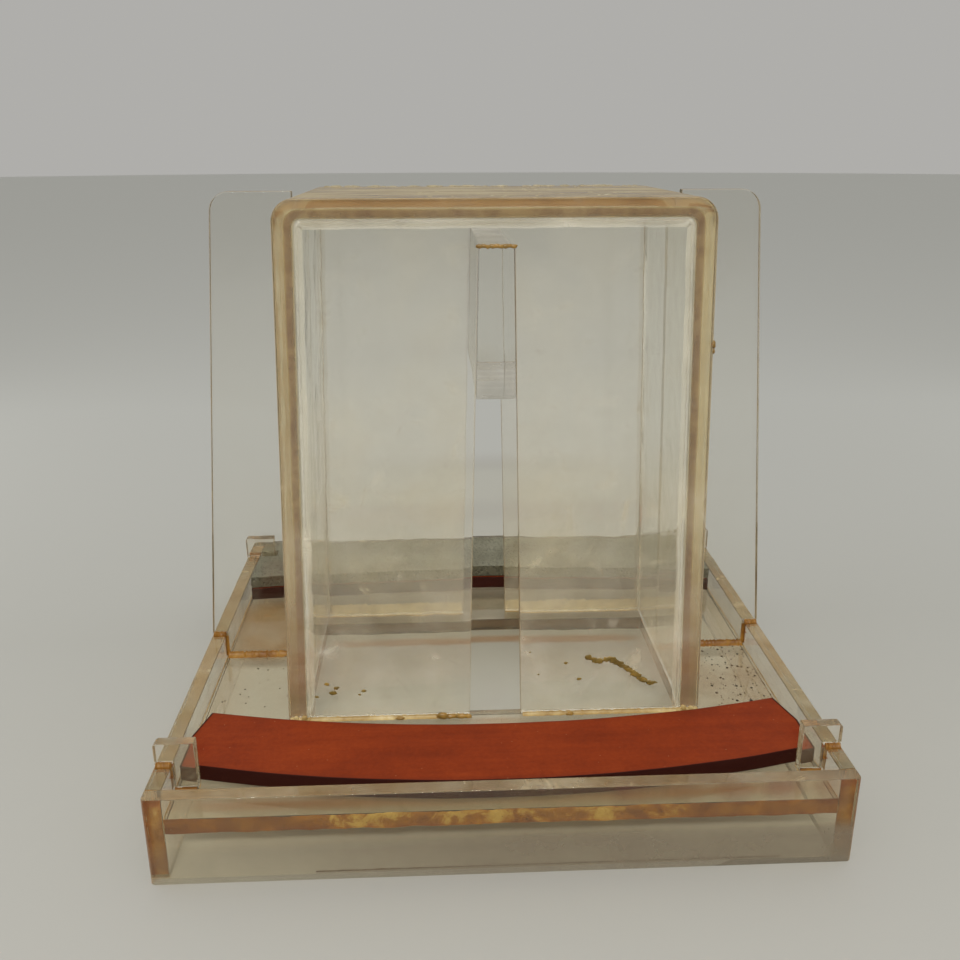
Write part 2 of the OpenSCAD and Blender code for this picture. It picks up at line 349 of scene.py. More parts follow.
def old_cement(name, stops, cover=0.9, sheet_end=False, pale=None):
    """Aged cement in a thin film, with pale patches where it has let go.

    On the sheet's ends it is a brown streak in a paler band, darker towards the foot.
    pale is the stretch in X, in millimetres, where most of it has let go.
    """
    f = Finish(name)
    patch = f.clouds(95, 5, 0.62, warp=0.8)
    fine = f.clouds(420, 4, 0.6)
    across = f.band(1)
    rim = (across * 2 - 1).size().above(0.35, 1.0)
    if sheet_end:
        wander = f.clouds(22, 3) * 0.22 - 0.11
        streak = (across + wander).above(0.46, 0.68)
        outside = 1 - across.above(0.08, 0.24)
        foot = 1 - f.along(2).above((CORE_FOOT + 0.1) * MM, (CORE_FOOT + 55.1) * MM)
        crown = f.along(2).above((CORE_TOP - 8) * MM, (CORE_TOP - 5) * MM)
        tone = patch * 0.35 + fine * 0.2 + 0.34
        tone = tone + outside * (0.12 - crown * 0.42) - streak * 0.36 - foot * 0.26
        thick = cover * (0.45 + streak * 1.2 + foot * 1.2 + patch * 0.4) * (1 - rim * 0.3)
    else:
        tone = patch * 0.75 + fine * 0.25 - rim * 0.1
        thick = cover * (0.72 + rim * 0.2 + patch * 0.35)
    if pale:
        x, fade = f.along(0), 12
        start, end = pale
        let_go = x.above(start * MM, (start + fade) * MM) * (1 - x.above((end - fade) * MM, end * MM))
        flakes = f.clouds(150, 5, 0.7, warp=0.6).above(0.42, 0.6)
        tone = tone + let_go * (flakes * 0.18 + across.above(0.5, 0.95) * 0.12)
    bubbles = f.grains(700).above(0.05, 0.16)
    colour = f.ramp(tone, stops)
    if sheet_end:
        colour = f.blend(foot * (0.35 + patch * 0.6), colour, shade(126, 84, 30))
    film = f.coat(
        Base_Color=colour, Roughness=0.34 + fine * 0.2,
        Normal=f.bump(patch * 0.6 + fine * 0.4, 0.3 * MM),
        Alpha=(thick * (0.6 + bubbles * 0.4)).smaller(1.0))
    return f.close(film)


def set_glue(name, colour, clear=0.5):
    """Hardened drops and smears of glue, see-through at their edges."""
    f = Finish(name)
    cloudy = f.clouds(300, 4, 0.6)
    return f.close(f.coat(
        Base_Color=f.blend(cloudy.above(0.35, 0.65), colour, tuple(c * 0.55 for c in colour)),
        Roughness=0.22 + cloudy * 0.2, Transmission_Weight=clear, IOR=ACRYLIC_IOR,
        Normal=f.bump(cloudy, 0.3 * MM)))


def dark_grit(name):
    """Dry black and brown specks."""
    f = Finish(name)
    colour = f.ramp(f.clouds(160, 2), [(0.4, shade(24, 20, 14)), (0.62, shade(70, 50, 28))])
    return f.close(f.coat(Base_Color=colour, Roughness=0.8))


def red_rubber(name, side=shade(40, 9, 4)):
    """Soft red rubber sheet, rubbed, dusty and marked, with painted shade on its cut sides."""
    f = Finish(name)
    mottle = f.clouds(60, 6, 0.62)
    grain = f.clouds(900, 3, 0.6)
    brushed = f.clouds(240, 4, 0.6, (0.08, 1, 1))
    marks = f.clouds(28, 5, 0.7, warp=0.5).above(0.62, 0.78)
    specks = 1 - f.grains(330).above(0.03, 0.06)
    rim = (f.band(1) * 2 - 1).size().above(0.86, 1.0)
    # Painted shade: the cut sides take the side colour, darker than the lit top
    sides = f.from_middle().above(0.989, 0.996)
    tone = mottle * 0.5 + brushed * 0.3 + grain * 0.2
    colour = f.ramp(tone, [
        (0.32, shade(104, 34, 8)), (0.5, shade(128, 47, 14)), (0.68, shade(146, 60, 21))])
    colour = f.blend(marks * 0.55, colour, shade(82, 26, 10))
    colour = f.blend(rim * 0.35, colour, shade(98, 34, 16))
    colour = f.blend(specks * 0.5, colour, shade(176, 132, 96))
    colour = f.blend(sides * 0.95, colour, side)
    return f.close(f.coat(
        Base_Color=colour, Roughness=0.62 + mottle * 0.2, Specular_IOR_Level=0.15,
        Normal=f.bump(grain * 0.6 + brushed * 0.4, 0.18 * MM)))


def grey_foam(name):
    """Fine grey foam rubber with open cells and grime, and painted shade on its cut sides."""
    f = Finish(name)
    cells = f.grains(860).above(0.0, 0.55)
    grime = f.clouds(45, 5, 0.6)
    colour = f.ramp(grime, [
        (0.3, shade(90, 88, 74)), (0.5, shade(112, 111, 96)), (0.7, shade(130, 130, 116))])
    colour = f.blend((1 - cells) * 0.3, colour, shade(66, 62, 50))
    # Painted shade: the cut sides are darker than the lit top
    sides = f.from_middle().above(0.9965, 0.999)
    colour = f.blend(sides * 0.6, colour, shade(52, 46, 32))
    return f.close(f.coat(Base_Color=colour, Roughness=0.92, Normal=f.bump(cells, 0.4 * MM)))


def table_top(name):
    """Plain pale laminate, darker round the tank as painted shade and paler towards the back as painted
    light.
    """
    f = Finish(name)
    soft = f.clouds(5, 4, 0.5)
    return f.close(f.coat(
        Base_Color=f.ramp((f.along(1) + 0.25) * 1.4 + soft * 0.06, [
            (0.05, shade(183, 182, 177)), (0.45, shade(174, 174, 169)), (0.9, shade(187, 188, 184))]),
        Roughness=0.65, Specular_IOR_Level=0.12))


# Modelling helpers

MERGE, PLATE_MERGE = 1e-7, 1e-6
PLATE_EASE, STRIP_EASE = 0.22 * MM, 0.3 * MM


def only(piece):
    """Object mode, with this piece alone selected and active."""
    if bpy.context.object and bpy.context.object.mode != "OBJECT":
        bpy.ops.object.mode_set(mode="OBJECT")
    bpy.ops.object.select_all(action="DESELECT")
    if piece is not None:
        piece.select_set(True)
        bpy.context.view_layer.objects.active = piece


def apply_all(piece):
    """Applies the piece's modifiers."""
    only(piece)
    for modifier in list(piece.modifiers):
        bpy.ops.object.modifier_apply(modifier=modifier.name)


def laid_grid(name, place, along, across):
    """A grid of cells whose corners are laid out by place(u, v), with u and v from 0 to 1."""
    only(None)
    bpy.ops.mesh.primitive_grid_add(
        x_subdivisions=along, y_subdivisions=across, size=2, calc_uvs=True, location=(0, 0, 0))
    piece = bpy.context.object
    piece.name = piece.data.name = name
    for vertex in piece.data.vertices:
        vertex.co = place((vertex.co.x + 1) / 2, (vertex.co.y + 1) / 2)
    return piece


def thicken(piece, thickness):
    """Gives a laid grid two faces and a rim."""
    wall = piece.modifiers.new("wall", "SOLIDIFY")
    wall.thickness, wall.offset, wall.use_even_offset = thickness, 0.0, True
    apply_all(piece)


def outward(piece):
    """Merges doubles and turns the faces outwards."""
    only(piece)
    bpy.ops.object.mode_set(mode="EDIT")
    bpy.ops.mesh.select_all(action="SELECT")
    bpy.ops.mesh.remove_doubles(threshold=MERGE)
    bpy.ops.mesh.normals_make_consistent(inside=False)
    bpy.ops.object.mode_set(mode="OBJECT")


def ease_edges(piece, width, sharper_than=30):
    """Bevels the edges sharper than an angle in degrees and keeps the flats flat."""
    only(piece)
    bpy.ops.object.mode_set(mode="EDIT")
    bpy.ops.mesh.select_mode(type="EDGE")
    bpy.ops.mesh.select_all(action="DESELECT")
    bpy.ops.mesh.edges_select_sharp(sharpness=math.radians(sharper_than))
    bpy.ops.mesh.bevel(offset=width, segments=2, affect="EDGES", clamp_overlap=True)
    bpy.ops.object.mode_set(mode="OBJECT")
    bpy.ops.object.shade_smooth_by_angle(angle=math.radians(50))
    flats = piece.modifiers.new("flats", "WEIGHTED_NORMAL")
    flats.keep_sharp, flats.weight = True, 100
    apply_all(piece)


def dress(piece, material, body="tank"):
    """One finish for the whole piece, and the body that carries it."""
    piece.data.materials.clear()
    piece.data.materials.append(material)
    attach(piece, body)


def eased_plate(node, material, edge=None):
    """A CAD plate with its sawn edges eased; edge is the finish of the sawn faces of a flat sheet."""
    piece = bpy.data.objects.new(node + ".plate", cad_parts[node].data.copy())
    scene.collection.objects.link(piece)
    only(piece)
    bpy.ops.mesh.customdata_custom_splitnormals_clear()
    bpy.ops.object.mode_set(mode="EDIT")
    bpy.ops.mesh.select_all(action="SELECT")
    bpy.ops.mesh.remove_doubles(threshold=PLATE_MERGE)
    bpy.ops.mesh.dissolve_limited(angle_limit=math.radians(0.4))
    bpy.ops.object.mode_set(mode="OBJECT")
    ease_edges(piece, PLATE_EASE)
    dress(piece, material, "tank")
    if edge:
        low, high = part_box(node)
        thin = min(range(3), key=lambda k: high[k] - low[k])
        piece.data.materials.append(edge)
        for face in piece.data.polygons:
            face.material_index = int(abs(face.normal[thin]) < 0.9 and face.normal.z > -0.5)
    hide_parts(node)


def ripple(x, y=0.0, z=0.0):
    """Smooth noise from -1 to 1 that is the same on each run."""
    return noise.noise(Vector((x, y, z)))


# Table and light

TABLE_RADIUS = 6.0


def add_stage():
    """A wide pale table."""
    def place(u, v):
        radius, turn = TABLE_RADIUS * u ** 2, v * 2 * math.pi
        return Vector((radius * math.cos(turn), radius * math.sin(turn), 0))

    table = laid_grid("table", place, 24, 64)
    outward(table)
    table.data.materials.append(table_top("pale_table"))
    table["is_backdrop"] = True


def add_lamp(name, place, target, size, watts, colour):
    """A flat lamp that isn't itself seen through the plates."""
    data = bpy.data.lights.new(name, "AREA")
    data.shape, data.energy, data.color = "RECTANGLE", watts, colour
    data.size, data.size_y = size
    lamp = bpy.data.objects.new(name, data)
    lamp.location = place
    lamp.rotation_euler = (Vector(target) - Vector(place)).to_track_quat("-Z", "Y").to_euler()
    scene.collection.objects.link(lamp)
    lamp.visible_transmission = False


SKY_LEVEL = 0.6
HORIZON = 0.43


def add_light():
    """Soft light: a bright ceiling, a long lamp above and in front, two softboxes and a pale horizon."""
    f = Finish("studio", world=True)
    where = f.add("ShaderNodeTexCoord", out="Generated")
    height = f.add("ShaderNodeSeparateXYZ", None, {0: where}, 2)
    depth = f.add("ShaderNodeSeparateXYZ", None, {0: where}, 1)
    ceiling = height.above(-0.1, 1.0)
    behind = depth.above(-0.6, 0.9)
    level = (0.1 + ceiling * 1.25 + behind * (1 - ceiling) * 0.4) * SKY_LEVEL
    camera = f.add("ShaderNodeLightPath", out="Is Camera Ray")
    through = f.add("ShaderNodeLightPath", out="Is Transmission Ray")
    near_horizon = 1 - height.above(0.2, 0.5)
    seen = level.larger(camera.larger(through) * near_horizon * HORIZON)
    sky = f.add("ShaderNodeBackground", None, {
        "Color": f.blend(seen, (0, 0, 0), (1, 0.985, 0.945)), "Strength": 1.0})
    scene.world = f.close(sky)
    add_lamp("long_lamp", place=(-0.06, -1.0, 0.88), target=(0, 0.02, 0.03), size=(0.5, 0.07),
             watts=9.0, colour=(1.0, 0.985, 0.96))
    add_lamp("left_softbox", place=(-0.45, 0.1, 0.15), target=(0, 0.1, 0.1), size=(0.5, 0.26),
             watts=0.36, colour=(1.0, 0.99, 0.97))
    add_lamp("right_softbox", place=(0.45, 0.1, 0.15), target=(0, 0.1, 0.1), size=(0.5, 0.26),
             watts=0.18, colour=(0.97, 0.99, 1.0))


add_camera()
scene.view_settings.view_transform = "Standard"
scene.cycles.max_bounces = 26
scene.cycles.transmission_bounces = 26
scene.cycles.transparent_max_bounces = 96
add_stage()
add_light()

# Plates

# Where the painted reflection of the red rubber lies under the front wall's top, by X in millimetres
RUBBER_REFLECTION_X = (30, 42, 54, 66, 78)
BLOCK_GREY_Y = (-32, -22, -12, -2, 8, 18, 26)
FLOOR = aged_acrylic("aged_acrylic_floor", veil=0.05, tint=(0.985, 0.945, 0.845), stains_and_painted_marks=(
    ((-68, 21, FLOOR_TOP), 30, 0.75, RUSTY),
    ((68, -22, FLOOR_TOP), 34, 0.25, RUSTY),
    ((-66, -24, FLOOR_TOP), 26, 0.12, RUSTY)))
WALL = aged_acrylic("aged_acrylic_wall", veil=0.025, tint=(0.97, 0.935, 0.87))
# The front wall carries painted shade below the floor and a painted reflection of the red rubber under its
# top
FRONT_WALL = aged_acrylic(
    "aged_acrylic_front_wall", veil=0.05, tint=(0.965, 0.92, 0.8), dust=BROWN_DUST, grey_foot=0.75,
    stains_and_painted_marks=tuple(((x, WALL_FRONT, WALL_TOP - 2), 8, 0.34, RUBBER_REFLECTION) for x in RUBBER_REFLECTION_X))
PLATE = aged_acrylic("aged_acrylic_plate", veil=0.02, tint=(0.965, 0.96, 0.935))
CORE = aged_acrylic("aged_acrylic_core", veil=0.13, tint=(0.984, 0.982, 0.965), dust=PALE_DUST, core=True)
# The block is greyer along its foot
BLOCK = aged_acrylic(
    "clear_acrylic_block", veil=0.02, tint=(0.985, 0.982, 0.965), depth=1.2,
    stains_and_painted_marks=tuple(((0, y, BLOCK_FOOT - 0.4), 9, 0.55, BLOCK_FOOT_GREY) for y in BLOCK_GREY_Y))
TAB = aged_acrylic("hazy_acrylic_tab", veil=0.14, tint=(0.96, 0.94, 0.89))
SAWN = aged_acrylic("sawn_edge", veil=0.4, tint=(0.95, 0.93, 0.77))
PALE_EDGE = aged_acrylic("pale_sawn_edge", veil=0.6, tint=(0.97, 0.94, 0.82))
# The floor's sawn edges are tinted dark as painted shade: the rear strips' shadow on the table, seen
# through the floor's opening
CUT_OPENING = aged_acrylic("sawn_opening", veil=0.1, tint=(0.86, 0.81, 0.75))
eased_plate("tray_front_wall", FRONT_WALL, SAWN)
for node in ("tray_rear_wall", "tray_left_wall", "tray_right_wall"):
    eased_plate(node, WALL, SAWN)
for node in ("front_left_tab", "front_right_tab", "rear_left_tab", "rear_right_tab"):
    eased_plate(node, TAB, SAWN)
for node in ("left_wing", "right_wing"):
    eased_plate(node, PLATE, PALE_EDGE)
for node in PANELS:
    eased_plate(node, CORE, SAWN)
eased_plate("core_channel", CORE)
eased_plate("centre_block", BLOCK)
eased_plate("tray_floor", FLOOR, CUT_OPENING)


# Strips

def bowed_edge(x, middle, half_chord, bow):
    """Distance from the tray's centre of an edge that bows outwards at its middle."""
    radius = (half_chord ** 2 + bow ** 2) / (2 * bow)
    return middle - (radius - math.sqrt(radius ** 2 - x ** 2))


def cut_from_sheet(strip, thick, material, body, node):
    """Gives a strip's top face its thickness, eased edges and a finish."""
    only(strip)
    bpy.ops.object.mode_set(mode="EDIT")
    bpy.ops.mesh.select_all(action="SELECT")
    bpy.ops.mesh.extrude_region_move(TRANSFORM_OT_translate={"value": (0, 0, -thick)})
    bpy.ops.object.mode_set(mode="OBJECT")
    outward(strip)
    ease_edges(strip, STRIP_EASE, 50)
    dress(strip, material, body)
    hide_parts(node)
    return strip


# The strips' ends and bowed edges lie TUCK inside those of their solids, and they are thinner by THINNED
TUCK = 0.12 * MM
TOP_DROP, THINNED = 0.14 * MM, 0.26 * MM
CUT_WOBBLE, WAVE = 0.1 * MM, 0.1 * MM
FRONT_WIDTH, FRONT_LEAN = 24.8 * MM, 3 * MM
FRONT_OUTER_BOW, FRONT_INNER_BOW = 9.2 * MM, 9.8 * MM
REAR_WIDTH, REAR_BOW = 25.3 * MM, 4.8 * MM
WALL_ROOM, TAB_ROOM = 0.5 * MM, 0.9 * MM


def front_strip():
    """The front strip: both edges bow forwards, and the ends follow the side walls, then lean inwards."""
    node = "front_rubber_strip"
    low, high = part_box(node)
    half_len = high.x - TUCK
    outer_middle, inner_middle = -low.y - TUCK, -low.y - FRONT_WIDTH + TUCK

    def place(u, v):
        x = (u * 2 - 1) * (half_len - FRONT_LEAN * max(1 - 2 * v, 0))
        outer = bowed_edge(x, outer_middle, TAB_INNER_X * MM, FRONT_OUTER_BOW)
        inner = bowed_edge(x, inner_middle, half_len, FRONT_INNER_BOW)
        cut = CUT_WOBBLE * ripple(x * 90, v * 3, 1.3)
        y = inner + (outer - inner) * v + cut * (2 * v - 1)
        wave = WAVE * ripple(x * 35, y * 35, 6.3)
        return Vector((x, -y, high.z - TOP_DROP + wave))

    strip = laid_grid("front_strip", place, 150, 20)
    thick = high.z - low.z - THINNED
    cut_from_sheet(strip, thick, red_rubber("red_rubber"), "front_strip", node)


def rear_strip(name, node, material, body, seed):
    """A rear strip: straight along the wall, bowed inside, notched around the tabs."""
    low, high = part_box(node)
    half_len, outer = high.x - TUCK, WALL_INNER_Y * MM - WALL_ROOM
    inner_middle = high.y - REAR_WIDTH + TUCK
    notch_x = TAB_INNER_X * MM - TAB_ROOM
    notch_low, notch_high = TAB_NEAR_Y * MM - TAB_ROOM, TAB_FAR_Y * MM + TAB_ROOM
    # Cells along each end and the length between, and across before, beside and behind the notch
    ends, length, near, notch, far = 5, 150, 14, 4, 7

    def place(u, v):
        i, j = round(u * (length + 2 * ends)), round(v * (near + notch + far))
        if i <= ends:
            x = -half_len + (half_len - notch_x) * i / ends
        elif i >= length + ends:
            x = notch_x + (half_len - notch_x) * (i - length - ends) / ends
        else:
            x = -notch_x + 2 * notch_x * (i - ends) / length
        inner = bowed_edge(x, inner_middle, half_len, REAR_BOW)
        if j <= near:
            y = inner + (notch_low - inner) * j / near
        elif j <= near + notch:
            y = notch_low + (notch_high - notch_low) * (j - near) / notch
        else:
            y = notch_high + (outer - notch_high) * (j - near - notch) / far
        wave = WAVE * ripple(x * 35, y * 35, seed)
        return Vector((x, y, high.z - TOP_DROP + wave))

    strip = laid_grid(name, place, length + 2 * ends, near + notch + far)
    only(strip)
    bpy.ops.object.mode_set(mode="EDIT")
    bpy.ops.mesh.select_mode(type="FACE")
    bpy.ops.mesh.select_all(action="DESELECT")
    bpy.ops.object.mode_set(mode="OBJECT")
    for face in strip.data.polygons:
        middle = face.center
        face.select = abs(middle.x) > notch_x and notch_low < middle.y < notch_high
    bpy.ops.object.mode_set(mode="EDIT")
    bpy.ops.mesh.delete(type="FACE")
    bpy.ops.object.mode_set(mode="OBJECT")
    return cut_from_sheet(strip, high.z - low.z - THINNED, material, body, node)


front_strip()
# The rear rubber's cut sides get a darker painted shade still
REAR_RUBBER = red_rubber("red_rubber_rear", shade(34, 6, 4))
rear_strip("rear_strip", "rear_rubber_strip", REAR_RUBBER, "rear_strip", 7.1)
foam = rear_strip("rear_foam", "rear_foam_strip", grey_foam("grey_foam"), "rear_foam", 4.6)

# Cement

FILM, FILM_EDGE = 0.12 * MM, 0.35 * MM
AXES = {"x": 0, "y": 1, "z": 2}
AMBER = old_cement("amber_cement", BROWN_CEMENT)
TAN = old_cement("tan_cement", TAN_CEMENT, 0.7)
SHEET_END = old_cement("sheet_end_cement", SHEET_CEMENT, 0.5, sheet_end=True)
FRONT_BAND = old_cement("front_band_cement", BAND_CEMENT, pale=(-52, 50))


def glue_film(name, first, second, axis, material, ragged, cells, **limits):
    """Cement in the gap between two plates that face each other along an axis.

    ragged is how far its edge wanders and limits are its ends along an axis, both in millimetres.
    """
    (low_a, high_a), (low_b, high_b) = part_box(first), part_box(second)
    across = AXES[axis]
    low = Vector(map(max, low_a, low_b))
    high = Vector(map(min, high_a, high_b))
    for k in range(2):
        low[k], high[k] = max(low[k], cad_low[k] + FILM_EDGE), min(high[k], cad_high[k] - FILM_EDGE)
    for key, (least, most) in limits.items():
        low[AXES[key]], high[AXES[key]] = least * MM, most * MM
    middle = (low[across] + high[across]) / 2
    long, short = sorted((k for k in range(3) if k != across), key=lambda k: low[k] - high[k])
    seed = sum(map(ord, name)) * 0.37

    def place(u, v):
        spot = Vector((0, 0, 0))
        spot[across] = middle
        run = low[long] + (high[long] - low[long]) * u
        spill = ragged * MM * (ripple(run * 160, v * 2, seed) + 0.5 * ripple(run * 700, v * 2, seed))
        spot[long] = run + spill * (2 * u - 1) * (u in (0, 1))
        spot[short] = low[short] + (high[short] - low[short]) * v + spill * (2 * v - 1)
        return spot

    film = laid_grid(name, place, cells, 8)
    thicken(film, FILM)
    outward(film)
    dress(film, material)


FRONT_CORNER_FOOT = {-1: 1.2, 1: 2.4}
REAR_CORNER_FOOT = 0.6
CORNER_HEAD = WALL_TOP - 0.2
BLOCK_FILM_HALF = 4.2
glue_film("floor_front_cement", "tray_floor", "tray_front_wall", "y", FRONT_BAND, ragged=0.35, cells=160)
glue_film("floor_rear_cement", "tray_floor", "tray_rear_wall", "y", TAN, ragged=0.4, cells=160)
for side, sign in SIDES:
    wall = f"tray_{side}_wall"
    glue_film(f"floor_{side}_cement", "tray_floor", wall, "x", TAN, ragged=0.3, cells=150)
    glue_film(f"front_{side}_corner_cement", wall, "tray_front_wall", "y", AMBER, ragged=0.22, cells=60,
              z=(FRONT_CORNER_FOOT[sign], CORNER_HEAD))
    glue_film(f"rear_{side}_corner_cement", wall, "tray_rear_wall", "y", AMBER, ragged=0.22, cells=60,
              z=(REAR_CORNER_FOOT, CORNER_HEAD))
    for end in ("front", "rear"):
        tab = f"{end}_{side}_tab"
        glue_film(f"{tab}_top_cement", tab, wall, "z", AMBER, ragged=0.12, cells=24)
        glue_film(f"{tab}_side_cement", tab, wall, "x", TAN, ragged=0.12, cells=30)
        glue_film(f"{tab}_foot_cement", tab, "tray_floor", "z", TAN, ragged=0.3, cells=30)
    wing = f"{side}_wing"
    glue_film(f"{wing}_foot_cement", wing, "tray_floor", "z", AMBER, ragged=0.3, cells=60,
              x=sorted((sign * (OUTER["foot"] + 0.4), sign * (WALL_INNER_X - 0.3))))
    glue_film(f"{wing}_side_cement", wing, wall, "x", AMBER, ragged=0.2, cells=30)
    glue_film(f"{wing}_top_cement", wing, wall, "z", AMBER, ragged=0.15, cells=24)
    for panel in PANELS:
        glue_film(f"{panel}_{side}_foot_cement", panel, "tray_floor", "z", TAN, ragged=0.35, cells=120,
                  x=sorted((sign * PANEL_FOOT_X, sign * (OUTER["foot"] - 0.2))))
    glue_film(f"core_{side}_foot_cement", "core_channel", "tray_floor", "z", AMBER, ragged=0.3, cells=120,
              x=sorted((sign * (INNER["foot"] + 0.1), sign * (OUTER["foot"] - 0.2))))
for panel in PANELS:
    low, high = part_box(panel)
    glue_film(f"block_{panel}_cement", "centre_block", panel, "z", AMBER, ragged=0.05, cells=24,
              x=(-BLOCK_FILM_HALF, BLOCK_FILM_HALF), y=(low.y / MM, high.y / MM),
              z=(SLOT_HEAD, SLOT_HEAD + GLUE_GAP))


def bent_line(u, foot, head, top, radius):
    """A point on an inverted U with leaning legs, from the left foot to the right one, u from 0 to 1."""
    side = -1 if u < 0.5 else 1
    t = 1 - abs(2 * u - 1)
    leg, bend = 0.72, 0.08  # shares of the half that the leg and the bend take
    lean = (foot - head) / (CORE_TOP - CORE_FOOT)
    shoulder = top - radius
    centre = foot - lean * (shoulder - CORE_FOOT) - radius
    if t < leg:
        z = CORE_FOOT + (shoulder - CORE_FOOT) * t / leg
        return Vector((side * (foot - lean * (z - CORE_FOOT)), 0, z))
    if t < leg + bend:
        a = (t - leg) / bend * math.pi / 2
        return Vector((side * (centre + radius * math.cos(a)), 0, shoulder + radius * math.sin(a)))
    return Vector((side * centre * (1 - (t - leg - bend) / (1 - leg - bend)), 0, top))


def sheet_end_film(name, y, seed):
    """Cement between the bent sheet's end and a panel."""
    def place(u, v):
        outer, inner = bent_line(u, **OUTER), bent_line(u, **INNER)
        spill = 0.14 * ripple(u * 60, v * 2, seed) + 0.08 * ripple(u * 240, v * 2, seed)
        share = v + spill / SHEET * (2 * v - 1)
        spot = outer.lerp(inner, 0.05 + 0.9 * share)
        return Vector((spot.x, y, spot.z)) * MM

    film = laid_grid(name, place, 320, 10)
    thicken(film, FILM)
    outward(film)
    dress(film, SHEET_END)


sheet_end_film("core_front_cement", FRONT_PANEL_INSIDE + GLUE_GAP / 2, 2.0)
sheet_end_film("core_rear_cement", REAR_PANEL_INSIDE - GLUE_GAP / 2, 9.0)


# Beads of glue

def filled_ends(piece):
    """Closes the open ends of a swept shell."""
    only(piece)
    bpy.ops.object.mode_set(mode="EDIT")
    bpy.ops.mesh.select_all(action="SELECT")
    bpy.ops.mesh.remove_doubles(threshold=MERGE)
    bpy.ops.mesh.fill_holes(sides=0)
    bpy.ops.object.mode_set(mode="OBJECT")
    outward(piece)


UP, FORWARD, BACK = Vector((0, 0, 1)), Vector((0, -1, 0)), Vector((0, 1, 0))
OFF_THE_PLATE = 0.03


def fillet(name, corner, leg_one, leg_two, material, reach, cells, lumps, seed, hollow=True):
    """Glue along an inside corner.

    corner(u) is a point of the corner in millimetres, u from 0 to 1. leg_one and leg_two are the directions
    of its two faces, and the first may be a function of u as well. reach is how far the glue goes along a
    face, and lumps how much that varies.
    """
    around = 12

    def place(u, v):
        spot = corner(u)
        one = leg_one(u) if callable(leg_one) else leg_one
        r = reach * (1 + lumps * ripple(u * 40, 0, seed) + 0.6 * lumps * ripple(u * 150, 1, seed))
        step = round(v * around) % around
        if step == 0:
            a, b = 0.0, 0.0
        else:
            turn = (step - 1) / (around - 2) * math.pi / 2
            if hollow:
                a, b = 1 - math.sin(turn), 1 - math.cos(turn)
            else:
                a, b = math.cos(turn), math.sin(turn)
        return (spot + one * (OFF_THE_PLATE + a * r) + leg_two * (OFF_THE_PLATE + b * r)) * MM

    piece = laid_grid(name, place, cells, around)
    filled_ends(piece)
    only(piece)
    bpy.ops.object.shade_smooth_by_angle(angle=math.radians(40))
    dress(piece, material)


CLEAR_GLUE = aged_acrylic("clear_cement", 0.04, (0.98, 0.97, 0.94), 2.0)
# The front meniscus's white haze is a painted highlight: the bright line along the inside corners
HIGHLIGHT_GLUE = aged_acrylic("hazy_cement", 0.24, (0.985, 0.98, 0.96), 2.0, dust=PAINTED_HIGHLIGHT_WHITES)
CREAM_GLUE = old_cement("cream_cement", TAN_CEMENT, 0.95)
PALE_GLUE = old_cement("pale_cement", PALE_CEMENT, 0.7)
AMBER_GLUE = set_glue("amber_glue", shade(190, 146, 66), 0.3)
BROWN_DIRT = set_glue("brown_dirt", shade(104, 64, 44), 0.3)
YELLOW_GLUE = set_glue("yellow_glue", shade(204, 172, 88), 0.6)


def inward(u):
    """From the bent sheet's inside face towards the middle of the core."""
    a, b = bent_line(max(u - 0.002, 0), **INNER), bent_line(min(u + 0.002, 1), **INNER)
    run = (b - a).normalized()
    return Vector((run.z, 0, -run.x))


def inside_line(y):
    """The corner between the bent sheet's inside face and a panel's, at y."""
    return lambda u: bent_line(u, **INNER) + Vector((0, y, 0))


def straight(start, end):
    """A straight run from one point to another."""
    return lambda u: Vector(start).lerp(Vector(end), u)


def along_x(sign, ends, y, z):
    """A straight run along X, on the left of the tank for sign -1 and on the right for 1."""
    return straight((sign * ends[0], y, z), (sign * ends[1], y, z))


